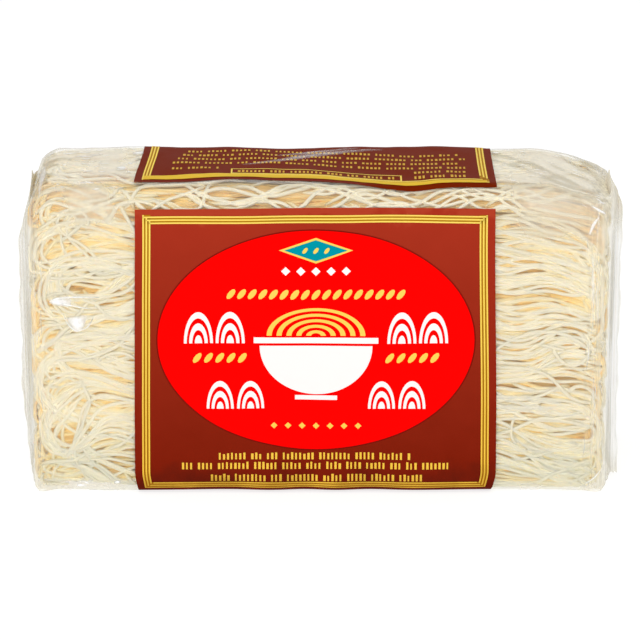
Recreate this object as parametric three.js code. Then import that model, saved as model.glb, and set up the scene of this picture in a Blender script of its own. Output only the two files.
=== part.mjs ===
// A pack of dried rice vermicelli in clear film, standing on its long narrow side.
// Millimetres, +Z up. The origin is the middle of the base, and the printed front faces -Y.
// The block of noodles fills the wrapper, so the pack is one solid. Its ends are gusseted:
// the front and back film lean together past the end of the block and meet in an upright
// fin, and the film of the top and of the base folds in between them.

import * as THREE from 'three';

// Driving sizes of the whole pack.
const LENGTH = 261;
const DEPTH = 74;
const HEIGHT = 136.5;

// The block: its half length, and how its edges are rounded over. Its top slopes down to the right.
const BLOCK_HALF = 123;
const BASE_RADIUS = 5;
const TOP_RADIUS = 11;
const END_SIDE_ROUND = { reach: 5, drop: 3 };
const END_BASE_ROUND = { reach: 3, drop: 1.5 };
const END_TOP_ROUND_LEFT = { reach: 14, drop: 10 };
const END_TOP_SLOPE_RIGHT = { reach: 34, drop: 9, power: 1.8 };

// Hollows between the high spots of the noodles. They fade out towards the base and the ends.
const HOLLOW_DEPTH = 1.2;
const HOLLOW_FADE = 18;

// The gusseted ends and the fin on each.
const LEAN_REACH = 4.3;
const GUSSET_FOLD = 11;
const FIN_THICKNESS = 1.6;
const FIN_OFFSET = -6;
const FIN_BASE_GAP = 0.6;
const FIN_LEAST = 0.5;

// The fins' tops, and how far each loose corner is cut back, over what height.
const FIN_TOP_LEFT = { high: 136, cut: 7, height: 50 };
const FIN_TOP_RIGHT = { high: 136, cut: 6.5, height: 16 };
const FIN_BASE_LEFT = { cut: 3, height: 34 };

// The foot of the right fin swings forward.
const FIN_SWING = { forward: 9, height: 40 };

// Fineness of the mesh.
const STATION_STEP = 8;
const END_STATIONS = [0, 0.6, 1.8, 3.6, 6, 9.5, 14, 20];
const LEAN_STEPS = 5;
const OUTLINE_STEPS = { base: 5, baseArc: 4, side: 15, topArc: 6, top: 6 };

const FILM_COLOUR = 0xe9ddc0;

function lerp(from, to, share) {
  return from + (to - from) * share;
}

function smoothStep(low, high, value) {
  const t = Math.min(Math.max((value - low) / (high - low), 0), 1);
  return t * t * (3 - 2 * t);
}

// How far an edge has dropped at a distance from the block's end, on a quarter ellipse.
function roundedDrop(round, distance) {
  const left = Math.max(1 - distance / round.reach, 0);
  return round.drop * (1 - Math.sqrt(1 - left * left));
}

// The same on a slope that grows steeper towards the end.
function slopedDrop({ reach, drop, power }, distance) {
  return drop * Math.max(1 - distance / reach, 0) ** power;
}

// Slow waves over the film, from 0 on a high spot to 1 in a hollow.
function hollow(x, y, z) {
  const long = Math.sin(x / 17 + z / 31 + y / 23);
  const short = Math.sin(x / 7.3 - z / 13 + y / 9 + 1.3);
  return 0.5 - 0.3 * long - 0.2 * short;
}

// Half of a cross-section, from the middle of the base round the front to the middle of the top.
// Each point has its place and its outward direction.
function halfOutline({ halfDepth, low, high }) {
  const baseRadius = Math.min(BASE_RADIUS, halfDepth * 0.8);
  const topRadius = Math.min(TOP_RADIUS, halfDepth * 0.8);
  const baseY = baseRadius - halfDepth;
  const topY = topRadius - halfDepth;
  const points = [];

  const line = (steps, fromY, fromZ, toY, toZ, outward) => {
    for (let i = 0; i < steps; i += 1) {
      points.push({ y: lerp(fromY, toY, i / steps), z: lerp(fromZ, toZ, i / steps), outward });
    }
  };
  const arc = (steps, centreY, centreZ, radius, start) => {
    for (let i = 0; i < steps; i += 1) {
      const angle = start + (Math.PI / 2) * (i / steps);
      const outward = [-Math.sin(angle), -Math.cos(angle)];
      points.push({ y: centreY + radius * outward[0], z: centreZ + radius * outward[1], outward });
    }
  };

  line(OUTLINE_STEPS.base, 0, low, baseY, low, [0, -1]);
  arc(OUTLINE_STEPS.baseArc, baseY, low + baseRadius, baseRadius, 0);
  line(OUTLINE_STEPS.side, -halfDepth, low + baseRadius, -halfDepth, high - topRadius, [-1, 0]);
  arc(OUTLINE_STEPS.topArc, topY, high - topRadius, topRadius, Math.PI / 2);
  line(OUTLINE_STEPS.top, topY, high, 0, high, [0, 1]);
  points.push({ y: 0, z: high, outward: [0, 1] });
  return points;
}

// A whole cross-section: the half outline and its mirror image behind.
function outline(section) {
  const front = halfOutline(section);
  const back = front.slice(1, -1).reverse();
  const mirrored = back.map(({ y, z, outward }) => ({ y: -y, z, outward: [-outward[0], outward[1]] }));
  return [...front, ...mirrored];
}

// The size of the block's cross-section at a distance from its end.
function blockSection(side, distance) {
  const leftDrop = roundedDrop(END_TOP_ROUND_LEFT, distance);
  const rightDrop = slopedDrop(END_TOP_SLOPE_RIGHT, distance);
  return {
    halfDepth: DEPTH / 2 - roundedDrop(END_SIDE_ROUND, distance),
    low: roundedDrop(END_BASE_ROUND, distance),
    high: HEIGHT - (side < 0 ? leftDrop : rightDrop),
  };
}

function blockRing(x) {
  const distance = BLOCK_HALF - Math.abs(x);
  return outline(blockSection(Math.sign(x), distance)).map(({ y, z, outward }) => {
    const fade = smoothStep(0, HOLLOW_FADE, distance) * smoothStep(0, HOLLOW_FADE, z);
    const depth = HOLLOW_DEPTH * fade * hollow(x, y, z);
    return [x, y - outward[0] * depth, z - outward[1] * depth];
  });
}

function finTop(side) {
  return side < 0 ? FIN_TOP_LEFT : FIN_TOP_RIGHT;
}

// The fin's outer edge, which is cut back towards its loose corners.
function finReach(side, z) {
  const { high, cut, height } = finTop(side);
  const topCut = cut * smoothStep(high - height, high, z);
  const baseCut = side < 0 ? FIN_BASE_LEFT.cut * smoothStep(FIN_BASE_LEFT.height, 0, z) : 0;
  return LENGTH / 2 - topCut - baseCut;
}

// Where the leaning film of the front and back meets in the fin.
function finRoot(side, z) {
  return Math.min(BLOCK_HALF + LEAN_REACH, finReach(side, z) - FIN_LEAST);
}

// How far the fin stands from the middle of the pack's depth.
function finOffset(side, z) {
  const swing = side > 0 ? FIN_SWING.forward * smoothStep(FIN_SWING.height, 0, z) : 0;
  return FIN_OFFSET - swing;
}

// A cross-section between the block's end, at share 0, and the root of the fin, at share 1.
function leanRing(side, share) {
  const end = blockSection(side, 0);
  const section = {
    halfDepth: lerp(end.halfDepth, FIN_THICKNESS / 2, share),
    low: lerp(end.low, FIN_BASE_GAP, share),
    high: lerp(end.high, finTop(side).high, share),
  };
  const fold = GUSSET_FOLD * 4 * share * (1 - share);
  return outline(section).map(({ y, z, outward }) => {
    const inward = fold * Math.max(1 - Math.abs(y) / (section.halfDepth * 0.6), 0);
    const foldedZ = z - outward[1] * inward * Math.abs(outward[1]);
    const x = side * lerp(BLOCK_HALF, finRoot(side, z), share);
    return [x, y + finOffset(side, z) * share, foldedZ];
  });
}

function finRing(side) {
  return leanRing(side, 1).map(([, y, z]) => [side * finReach(side, z), y, z]);
}

// Where the block is cut across: close together at its rounded ends, evenly apart between them.
function blockStations() {
  const ends = END_STATIONS.map((distance) => BLOCK_HALF - distance);
  const reach = Math.min(...ends);
  const count = Math.round((2 * reach) / STATION_STEP);
  const between = [];
  for (let i = 1; i < count; i += 1) {
    between.push(lerp(-reach, reach, i / count));
  }
  return [...ends.map((x) => -x), ...between, ...ends.reverse()];
}

// All rings from the left fin's edge to the right fin's edge.
function packRings() {
  const shares = Array.from({ length: LEAN_STEPS }, (_, i) => (i + 1) / LEAN_STEPS);
  const left = shares.map((share) => leanRing(-1, share)).reverse();
  const right = shares.map((share) => leanRing(1, share));
  return [finRing(-1), ...left, ...blockStations().map(blockRing), ...right, finRing(1)];
}

// Joins the rings into one closed skin. The two end rings are closed across from front to back.
function skinOver(rings) {
  const size = rings[0].length;
  const triangles = [];
  const at = (ring, point) => ring * size + (point % size);

  for (let ring = 0; ring + 1 < rings.length; ring += 1) {
    for (let point = 0; point < size; point += 1) {
      const corners = [at(ring, point), at(ring + 1, point), at(ring + 1, point + 1), at(ring, point + 1)];
      triangles.push([corners[0], corners[1], corners[2]], [corners[0], corners[2], corners[3]]);
    }
  }

  const closeAcross = (ring, flip) => {
    for (let point = 0; point < size / 2; point += 1) {
      const corners = [at(ring, point), at(ring, point + 1), at(ring, size - point - 1), at(ring, size - point)];
      const pair = [[corners[0], corners[1], corners[2]], [corners[0], corners[2], corners[3]]];
      const whole = pair.filter((corner) => new Set(corner).size === 3);
      triangles.push(...whole.map((corner) => (flip ? [...corner].reverse() : corner)));
    }
  };
  closeAcross(0, false);
  closeAcross(rings.length - 1, true);

  const geometry = new THREE.BufferGeometry();
  geometry.setAttribute('position', new THREE.Float32BufferAttribute(rings.flat(2), 3));
  geometry.setIndex(triangles.flat());
  geometry.computeVertexNormals();
  return geometry;
}

function vermicelliPack() {
  const film = new THREE.MeshStandardMaterial({ color: FILM_COLOUR, roughness: 0.25, metalness: 0 });
  const pack = new THREE.Mesh(skinOver(packRings()), film);
  pack.name = 'vermicelli_pack';
  return pack;
}

const group = new THREE.Group();
group.add(vermicelliPack());

export default group;
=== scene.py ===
"""Looks of a pack of dried rice vermicelli in printed clear film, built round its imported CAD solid.

Sizes are in millimetres and become metres only where a mesh is made. The pack stands on z = 0, its
length runs along x and its printed front faces -y. Most pieces are laid out on the film's own skin:
x is the place along the pack, and "along" is the distance round its cross-section, from the middle
of the base up the front (to HALF_ROUND at the middle of the top) and down the back.
"""

import math

import bpy
import numpy as np
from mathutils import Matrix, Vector


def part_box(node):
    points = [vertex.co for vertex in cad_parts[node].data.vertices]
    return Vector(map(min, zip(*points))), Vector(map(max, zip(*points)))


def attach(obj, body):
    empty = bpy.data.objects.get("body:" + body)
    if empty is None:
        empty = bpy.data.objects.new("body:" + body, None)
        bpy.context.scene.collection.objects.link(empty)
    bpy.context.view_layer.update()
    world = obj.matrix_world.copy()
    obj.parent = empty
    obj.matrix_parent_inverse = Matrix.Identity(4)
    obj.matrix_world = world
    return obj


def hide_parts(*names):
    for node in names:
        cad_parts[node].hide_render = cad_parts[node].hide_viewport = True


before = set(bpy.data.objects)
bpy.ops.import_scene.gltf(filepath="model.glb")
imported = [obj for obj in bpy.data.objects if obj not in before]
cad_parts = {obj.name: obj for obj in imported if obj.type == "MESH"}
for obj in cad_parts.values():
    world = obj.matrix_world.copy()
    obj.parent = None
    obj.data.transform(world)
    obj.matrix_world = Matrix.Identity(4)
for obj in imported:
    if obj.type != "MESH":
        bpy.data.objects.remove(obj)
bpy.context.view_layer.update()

NODE = "vermicelli_pack"
MM = 0.001
LENGTH, DEPTH, HEIGHT = ((high - low) / MM for low, high in zip(*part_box(NODE)))

# ------------------------------------------------------------------ the skin of the pack

# The block's edges, as in the CAD solid: how far each reaches along the pack, its drop and its power.
BLOCK_HALF = 123.0
BASE_RADIUS = 5.0
TOP_RADIUS = 11.0
END_SIDE_ROUND = (5.0, 3.0)
END_BASE_ROUND = (3.0, 1.5)
END_TOP_ROUND_LEFT = (14.0, 10.0)
END_TOP_SLOPE_RIGHT = (34.0, 9.0, 1.8)
HOLLOW_DEPTH = 1.2
HOLLOW_FADE = 18.0

# Lengths of the five stretches of half a cross-section: base, its arc, side, top arc, top.
STRETCHES = (
    DEPTH / 2 - BASE_RADIUS,
    math.pi / 2 * BASE_RADIUS,
    HEIGHT - BASE_RADIUS - TOP_RADIUS,
    math.pi / 2 * TOP_RADIUS,
    DEPTH / 2 - TOP_RADIUS,
)
STRETCH_ENDS = np.cumsum(STRETCHES)
HALF_ROUND = STRETCH_ENDS[-1]
FRONT_LOW = STRETCH_ENDS[1]
FRONT_HIGH = STRETCH_ENDS[2]
TOP_START = STRETCH_ENDS[3]
ROUND = 2 * HALF_ROUND

# Where the front's printed panel ends on the top edge.
PANEL_HIGH = FRONT_HIGH + 2.5


def smooth_step(low, high, value):
    t = np.clip((value - low) / (high - low), 0, 1)
    return t * t * (3 - 2 * t)


def lerp(start, end, share):
    return start + (end - start) * share


def row(start, end, count):
    """Evenly spaced numbers as a row, for a grid."""
    return np.linspace(start, end, count)[None, :]


def column(start, end, count):
    return np.linspace(start, end, count)[:, None]


def rounded_drop(edge, distance):
    """How far an edge has dropped at a distance from the block's end, on a quarter ellipse."""
    reach, drop = edge
    left = np.maximum(1 - distance / reach, 0)
    return drop * (1 - np.sqrt(1 - left * left))


def sloped_drop(edge, distance):
    """The same on a slope that grows steeper towards the end."""
    reach, drop, power = edge
    return drop * np.maximum(1 - distance / reach, 0) ** power


def block_section(x):
    """Half depth, lowest and highest level of the block's cross-section at x."""
    distance = np.maximum(BLOCK_HALF - np.abs(x), 0)
    top_left = rounded_drop(END_TOP_ROUND_LEFT, distance)
    top_right = sloped_drop(END_TOP_SLOPE_RIGHT, distance)
    half_depth = DEPTH / 2 - rounded_drop(END_SIDE_ROUND, distance)
    return half_depth, rounded_drop(END_BASE_ROUND, distance), HEIGHT - np.where(x < 0, top_left, top_right)


def end_section(side):
    """The block's cross-section at one of its ends, as plain numbers."""
    return [float(value) for value in block_section(np.array(side * BLOCK_HALF))]


def outline(along, half_depth, low, high):
    """Place (y, z) and outward direction at a distance round a cross-section of that size."""
    turn = np.mod(along, ROUND)
    behind = np.where(turn > HALF_ROUND, -1.0, 1.0)
    turn = np.where(turn > HALF_ROUND, ROUND - turn, turn)
    stretch = np.minimum(np.searchsorted(STRETCH_ENDS, turn), 4)
    start = np.concatenate([[0], STRETCH_ENDS])[stretch]
    share = (turn - start) / np.array(STRETCHES)[stretch]
    base_radius = np.minimum(BASE_RADIUS, half_depth * 0.8)
    top_radius = np.minimum(TOP_RADIUS, half_depth * 0.8)
    base_y, top_y = base_radius - half_depth, top_radius - half_depth
    base_z, top_z = low + base_radius, high - top_radius

    base_turn, top_turn = share * math.pi / 2, (1 + share) * math.pi / 2
    zero, one = np.zeros_like(share), np.ones_like(share)
    out_y = np.choose(stretch, [zero, -np.sin(base_turn), -one, -np.sin(top_turn), zero])
    out_z = np.choose(stretch, [-one, -np.cos(base_turn), zero, -np.cos(top_turn), one])
    y = np.choose(stretch, [
        base_y * share,
        base_y + base_radius * out_y,
        -half_depth * one,
        top_y + top_radius * out_y,
        top_y * (1 - share),
    ])
    z = np.choose(stretch, [
        low * one,
        base_z + base_radius * out_z,
        lerp(base_z, top_z, share),
        top_z + top_radius * out_z,
        high * one,
    ])
    return y * behind, z, out_y * behind, out_z


def hollow(x, y, z):
    """Slow waves over the film, from 0 on a high spot to 1 in a hollow."""
    long = np.sin(x / 17 + z / 31 + y / 23)
    short = np.sin(x / 7.3 - z / 13 + y / 9 + 1.3)
    return 0.5 - 0.3 * long - 0.2 * short


def skin(x, along, out=0.0):
    """Points of the block's skin, moved outwards, and their outward directions."""
    x, along, out = np.broadcast_arrays(np.asarray(x, float), along, out)
    y, z, out_y, out_z = outline(along, *block_section(x))
    fade = smooth_step(0, HOLLOW_FADE, BLOCK_HALF - np.abs(x)) * smooth_step(0, HOLLOW_FADE, z)
    move = out - HOLLOW_DEPTH * fade * hollow(x, y, z)
    points = np.stack([x, y + out_y * move, z + out_z * move], -1)
    return points, np.stack([np.zeros_like(x), out_y, out_z], -1)


def front(height):
    """The distance round the outline at a height on the front."""
    return FRONT_LOW + height - BASE_RADIUS


def from_base(along):
    """The distance round the outline from the middle of the base, whichever way round is shorter."""
    turn = np.mod(along, ROUND)
    return np.minimum(turn, ROUND - turn)


def crinkle(x, along):
    """How far fine wrinkles lift the film: most near the ends and on the top, none on the base.

    The film is also loose where it turns under the pack, and stands off in a corner at both ends."""
    turn = from_base(along)
    under = smooth_step(FRONT_LOW - 9, FRONT_LOW - 3, turn) * smooth_step(FRONT_LOW + 12, FRONT_LOW, turn)
    loose = 0.35 + 0.35 * np.sin(x / 7 + 2 * np.sin(x / 23)) + 1.5 * smooth_step(112, 121, np.abs(x))
    ends = smooth_step(34, 4, BLOCK_HALF - np.abs(x))
    top = smooth_step(FRONT_HIGH - 4, TOP_START, turn)
    warp = 2.2 * np.sin(x / 11 + along / 19) + 1.4 * np.sin(x / 5.1 - along / 8.3)
    cross = np.sin((x + 0.9 * along + warp) / 4.7) * np.sin((x - 0.6 * along - 1.7 * warp) / 6.1)
    broad = 0.5 + 0.5 * np.sin(x / 9.5 + along / 14 + 0.5 * warp)
    height = 0.05 + 0.12 * broad + (0.2 * ends + 0.14 * top) * np.abs(cross) + 0.25 * ends * broad
    return height * smooth_step(FRONT_LOW - 9, FRONT_LOW + 6, turn) + under * loose


def film_skin(x, along, out=0.0):
    """Points of the film itself, with its wrinkles, moved outwards."""
    x, along = np.broadcast_arrays(np.asarray(x, float), along)
    return skin(x, along, crinkle(x, along) + out)[0]


# ------------------------------------------------------------------ meshes

BAKE_MAP = "OFBake"
DEPTH_SHADE = "depth_shade"
LIGHT = "light"


def linked(thing):
    bpy.context.scene.collection.objects.link(thing)
    return thing


def new_object(name, points, faces, material):
    """A smooth mesh in metres from points in millimetres."""
    mesh = bpy.data.meshes.new(name)
    mesh.from_pydata((np.asarray(points).reshape(-1, 3) * MM).tolist(), [], faces)
    mesh.materials.append(material)
    mesh.polygons.foreach_set("use_smooth", np.ones(len(mesh.polygons), bool))
    mesh.update()
    return linked(bpy.data.objects.new(name, mesh))


def new_piece(name, points, faces, material):
    """A piece of the pack. It rides with the pack."""
    piece = new_object(name, points, faces, material)
    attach(piece, "root")
    return piece


def give(piece, name, values):
    """Gives a piece's points a value each, which its material reads by that name."""
    piece.data.attributes.new(name, "FLOAT", "POINT").data.foreach_set("value", values)


def grid_faces(rows, columns, first=0, closed=False):
    """Quads of a grid of points, row by row. A closed grid joins each row's last point to its first."""
    row_at, place = np.meshgrid(np.arange(rows - 1), np.arange(columns - (not closed)), indexing="ij")
    after = (place + 1) % columns
    here, above = first + row_at * columns, first + (row_at + 1) * columns
    return np.stack([here + place, here + after, above + after, above + place], -1).reshape(-1, 4).tolist()


# ------------------------------------------------------------------ materials


class Graph:
    """A node material that is being put together."""

    def __init__(self, name):
        self.material = bpy.data.materials.new(name)
        self.material.use_nodes = True
        self.tree = self.material.node_tree
        self.tree.nodes.clear()

    def put(self, socket, value):
        """Sets an input to a plain value, or links it to an output, or to the first output of a node."""
        if isinstance(value, bpy.types.Node):
            value = value.outputs[0]
        if isinstance(value, bpy.types.NodeSocket):
            self.tree.links.new(value, socket)
        elif value is not None:
            socket.default_value = value

    def node(self, kind, *values, **settings):
        """A shader node. Values go to its inputs in order, settings to its properties or inputs by name."""
        node = self.tree.nodes.new("ShaderNode" + kind)
        for name, value in settings.items():
            if hasattr(node, name):
                setattr(node, name, value)
            else:
                self.put(node.inputs[name.replace("_", " ")], value)
        for socket, value in zip(node.inputs, values):
            self.put(socket, value)
        return node

    def finish(self, shader):
        self.node("OutputMaterial", shader)
        return self.material

    def ramp(self, share, *stops):
        """A ramp through (place, colour) stops. A colour that is a single number is a grey."""
        ramp = self.node("ValToRGB", share)
        elements = ramp.color_ramp.elements
        while len(elements) < len(stops):
            elements.new(0.5)
        for element, (place, colour) in zip(elements, stops):
            element.position = place
            element.color = (*np.broadcast_to(colour, 3), 1)
        return ramp

    def math(self, operation, *values):
        return self.node("Math", *values, operation=operation)

    def ranged(self, value, low, high, start=0.0, stop=1.0):
        """A value mapped from one range to another."""
        return self.node("MapRange", value, low, high, start, stop)

    def place(self):
        """A place in the object's own coordinates, in metres."""
        return self.node("TexCoord").outputs["Object"]

    def axes(self):
        """The x, y and z of that place."""
        return self.node("SeparateXYZ", self.place()).outputs

    def noise(self, scale, stretch=(1, 1, 1), detail=3.0):
        """A noise over that place, stretched along its axes."""
        mapping = self.node("Mapping", self.place(), Scale=stretch)
        return self.node("TexNoise", mapping, Scale=scale, Detail=detail)

    def attribute(self, name):
        return self.node("Attribute", attribute_name=name).outputs["Fac"]


# Noodle colours by their painted depth shade, from deepest to just under the film. The warm and dark ones
# are painted shade and painted glow of light that has passed through the noodles above.
NOODLE_DEEP = (0.79, 0.52, 0.18)
NOODLE_WARM = (0.91, 0.70, 0.32)
NOODLE_MID = (0.87, 0.75, 0.46)
NOODLE_PALE = (0.835, 0.775, 0.61)
# The core's warm colours are painted glow and painted shade: the colour of light that has passed through the
# noodles above.
CORE_LOW = (0.84, 0.62, 0.25)
CORE_HIGH = (0.88, 0.69, 0.33)

# How far light spreads inside a noodle, in metres: red the furthest.
GLOW_WEIGHT = 0.8
GLOW_REACH = 0.0012
GLOW_RADII = (1.0, 0.78, 0.42)

# The noodles are painted darker and a little greener at the foot of the pack, as painted shade, between
# these heights in metres.
FOOT_SHADE = (0.90, 0.935, 0.93)
FOOT_HEIGHTS = (0.004, 0.034)


def with_foot_shade(graph, colour):
    """A colour with painted shade near the foot of the pack: darker and a little greener."""
    tint = graph.ramp(graph.ranged(graph.axes()["Z"], *FOOT_HEIGHTS), (0.0, FOOT_SHADE), (1.0, 1.0))
    return graph.node("VectorMath", colour, tint, operation="MULTIPLY")


def noodle_finish(graph, colour, roughness):
    """A dry noodle lets some light through, which makes its shaded side and its gaps warm."""
    shader = graph.node("BsdfPrincipled", colour, Roughness=roughness, IOR=1.45, subsurface_method="BURLEY")
    for name, value in (("Weight", GLOW_WEIGHT), ("Radius", GLOW_RADII), ("Scale", GLOW_REACH)):
        shader.inputs["Subsurface " + name].default_value = value
    shader.inputs["Specular IOR Level"].default_value = 0.2
    return graph.finish(shader)


def noodle_material():
    """Dry rice noodle: cream under the film, and painted warmer and darker deeper in the block, as painted
    glow of light that has passed through others and painted shade.
    """
    graph = Graph("dry_noodle")
    shade = graph.math("MULTIPLY_ADD", graph.noise(160, (0.25, 1, 1)), 0.3, graph.attribute(DEPTH_SHADE))
    colour = graph.ramp(shade, (0.1, NOODLE_DEEP), (0.3, NOODLE_WARM), (0.6, NOODLE_MID), (1.0, NOODLE_PALE))
    return noodle_finish(graph, with_foot_shade(graph, colour), 0.5)


def core_material():
    """The noodles deep in the block, seen only through gaps: painted warm, as painted glow and shade of
    light through the noodles above, and a little streaky.
    """
    graph = Graph("deep_noodles")
    colour = graph.ramp(graph.noise(260, (0.08, 1, 1)), (0.3, CORE_LOW), (0.7, CORE_HIGH))
    return noodle_finish(graph, colour, 0.7)


def ink_material(name, *shades):
    """Printed ink under gloss, whose colour shades from the foot of the pack to its top. The darkest stops
    at the very foot are painted shade where the pack turns under.
    """
    graph = Graph(name)
    level = graph.ranged(graph.axes()["Z"], 0.0, HEIGHT * MM)
    colour = graph.ramp(graph.math("MULTIPLY_ADD", graph.noise(90), 0.16, level), *shades)
    return graph.finish(graph.node("BsdfPrincipled", colour, Roughness=0.35, Specular_IOR_Level=0.006))


# How much painted haze and painted shade the film's upright folds get, and how much painted haze of
# reflected light its top gets, as (x, share).
FOLD_HAZE_AND_SHADE = (
    (-130.5, 0.5),
    (-124.0, 0.9),
    (-120.0, 0.5),
    (-115.0, 0.0),
    (112.0, 0.0),
    (117.0, 0.6),
    (122.0, 0.9),
    (125.0, 0.15),
    (130.5, 0.1),
)
TOP_SHEEN_HAZE = ((-90.0, 1.0), (-78.0, 0.12), (77.0, 0.12), (88.0, 1.0))

# The heights, in metres, where the film's top and its foot get a painted haze of reflected light.
TOP_SHEEN_HEIGHTS = (0.103, 0.135)
FOOT_SHEEN_HEIGHTS = (0.003, 0.012)

# The film's tint and its share of mirror light, each from head-on to a slant.
FILM_TINTS = ((0.0, (0.99, 0.99, 0.985)), (0.6, (0.965, 0.965, 0.955)), (1.0, (0.80, 0.80, 0.785)))
GLOSS_SHARES = ((0.0, 0.02), (0.7, 0.14), (1.0, 0.5))
# The colour of the painted haze, and of the film's mirror light.
HAZE = (0.945, 0.89, 0.73, 1)
GLOSS = (0.95, 0.95, 0.95, 1)


def along_pack(graph, x, stops):
    """A share that changes along the pack. The stops are (x, share)."""
    half = LENGTH / 2
    places = (((place + half) / LENGTH, share) for place, share in stops)
    return graph.ramp(graph.ranged(x, -half * MM, half * MM), *places)


def film_painted_haze(graph):
    """How hazy the film is: a patchy painted haze of reflected light on its top and at its foot, and painted
    haze in upright streaks at its ends, which also darken its tint as painted fold shade.
    """
    x, _, z = graph.axes()
    high = graph.ranged(z, *TOP_SHEEN_HEIGHTS, 0.0, 0.56)
    foot = graph.ranged(z, *FOOT_SHEEN_HEIGHTS, 0.24, 0.0)
    top = graph.math("MULTIPLY_ADD", high, along_pack(graph, x, TOP_SHEEN_HAZE), 0.05)
    sheen_breaks = graph.ranged(graph.noise(42, detail=4.0), 0.35, 0.6, 0.15, 1.1)
    painted_sheen = graph.math("MULTIPLY", sheen_breaks, graph.math("ADD", top, foot))
    streaks = graph.ranged(graph.noise(900, (1, 0.5, 0.03)), 0.36, 0.66, 0.16, 0.56)
    folds = graph.math("MULTIPLY", streaks, along_pack(graph, x, FOLD_HAZE_AND_SHADE))
    return graph.math("ADD", painted_sheen, folds), folds


def film_material():
    """Clear film: see-through head-on, greyer and more mirror-like where it is seen at a slant, under
    painted haze and painted fold shade.
    """
    graph = Graph("clear_film")
    facing = graph.node("LayerWeight", Blend=0.35).outputs["Facing"]
    painted_haze, folds = film_painted_haze(graph)
    tint = graph.ramp(graph.math("MULTIPLY_ADD", folds, 0.3, facing), *FILM_TINTS)
    clear, haze = graph.node("BsdfTransparent", tint), graph.node("BsdfDiffuse", HAZE)
    hazy = graph.node("MixShader", painted_haze, clear, haze)
    gloss = graph.node("BsdfGlossy", GLOSS, Roughness=0.09)
    return graph.finish(graph.node("MixShader", graph.ramp(facing, *GLOSS_SHARES), hazy, gloss))


def glint_material():
    """A painted highlight where a sharp fold in the film catches the light: painted white in its middle, and
    clear at its edges.
    """
    graph = Graph("film_crease_glint")
    breaks = graph.ranged(graph.noise(500), 0.35, 0.55, 0.7, 1.0)
    share = graph.math("MULTIPLY", graph.attribute(LIGHT), breaks)
    shine = graph.node("BsdfPrincipled", (0.98, 0.98, 0.97, 1), Roughness=0.2)
    return graph.finish(graph.node("MixShader", share, graph.node("BsdfTransparent"), shine))


def floor_material():
    """A pale sweep that stays nearly white under the lights."""
    graph = Graph("pale_floor")
    grey = graph.ramp(graph.noise(3), (0.0, 0.35), (1.0, 0.37))
    glow = {"Emission_Color": (1, 1, 1, 1), "Emission_Strength": 0.76}
    return graph.finish(graph.node("BsdfPrincipled", grey, Roughness=0.9, Specular_IOR_Level=0.0, **glow))


# ------------------------------------------------------------------ noodles

NOODLE_RADIUS = 0.8
NOODLE_PITCH = 1.56
NOODLE_SIDES = 6

# A line is drawn in these steps. Then its points are set this far apart at most, and by this much bend.
PEN_STEP = 1.2
LONGEST_STEP = 6.0
MOST_BEND = 0.44

# How far the noodles reach at each end, and how high the end's rounded lower corner is.
BLOCK_ENDS = {-1: 122.4, 1: 121.6}
LOW_CORNER = {-1: 6.0, 1: 18.0}

# The print hides everything nearer to the middle than this. The strip is the clear film between the panels.
COVERED = 68.0
STRIP = (PANEL_HIGH - 5, 192.0)

# Each layer's depth under the film, the least and most gap between its bundles, and how much it swirls.
LAYERS = ((1.4, 0.2, 4.6, 0.34), (2.0, 0.0, 2.4, 0.26), (2.6, 0.0, 1.2, 0.14), (3.1, 0.0, 0.6, 0.05))
CORE_DEPTH = 3.7
CORE_END = 2.5
# Noodles are painted pale down to the first depth and fully warm and darker from the second: painted shade
# and painted glow of light through the noodles above.
PALE_DEPTH = 1.3
WARM_DEPTH = 3.3

# Between the two panels the first layer is missing, the others lie deeper, so that their painted depth shade
# is warmer and darker, and pale strays cross them.
STRIP_SINK = 1.0
STRIP_STRAYS = 28

# The left end swirls more than the right end, where the noodles also run down a little.
SWIRL = {-1: 1.0, 1: 0.55}
SLOPE = {-1: 0.0, 1: -0.05}

# The share of bundles that bend back at each end, at what radii and how far. The others go in over it.
TURNING_SHARE = {-1: 0.5, 1: 0.35}
TURN_RADII = (4, 15)
WAY_BACK = (18, 52)
DIVE_RADII = (2.5, 8)
WAY_IN = (6, 28)


def unit(vectors):
    return vectors / np.linalg.norm(vectors, axis=-1, keepdims=True)


def eased(points):
    """The same line without its kinks. Its ends stay."""
    softer = points.copy()
    softer[1:-1] = (points[:-2] + 2 * points[1:-1] + points[2:]) / 4
    return softer


def sampled(line):
    """A line of rows, place first, with fewer points: close together in bends, far apart between them."""
    pieces = np.diff(line[:, :3], axis=0)
    lengths = np.linalg.norm(pieces, axis=1)
    bends = np.linalg.norm(np.diff(unit(pieces), axis=0), axis=1)
    cost = lengths / LONGEST_STEP
    cost[1:] += bends / MOST_BEND / 2
    cost[:-1] += bends / MOST_BEND / 2
    cost = np.concatenate([[0], np.cumsum(cost)])
    at = np.linspace(0, cost[-1], max(int(cost[-1]) + 2, 4))
    return np.stack([np.interp(at, cost, column) for column in line.T], -1)


def tube_rings(points, side, radius):
    """Rings of points round a line. side is a direction across the line, at each of its points."""
    forward = unit(np.gradient(points, axis=0))
    across = unit(np.cross(forward, side))
    up = np.cross(forward, across)
    turn = np.arange(NOODLE_SIDES) * 2 * math.pi / NOODLE_SIDES
    circle = np.cos(turn)[:, None] * across[:, None] + np.sin(turn)[:, None] * up[:, None]
    return points[:, None] + np.asarray(radius)[:, None, None] * circle


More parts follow.
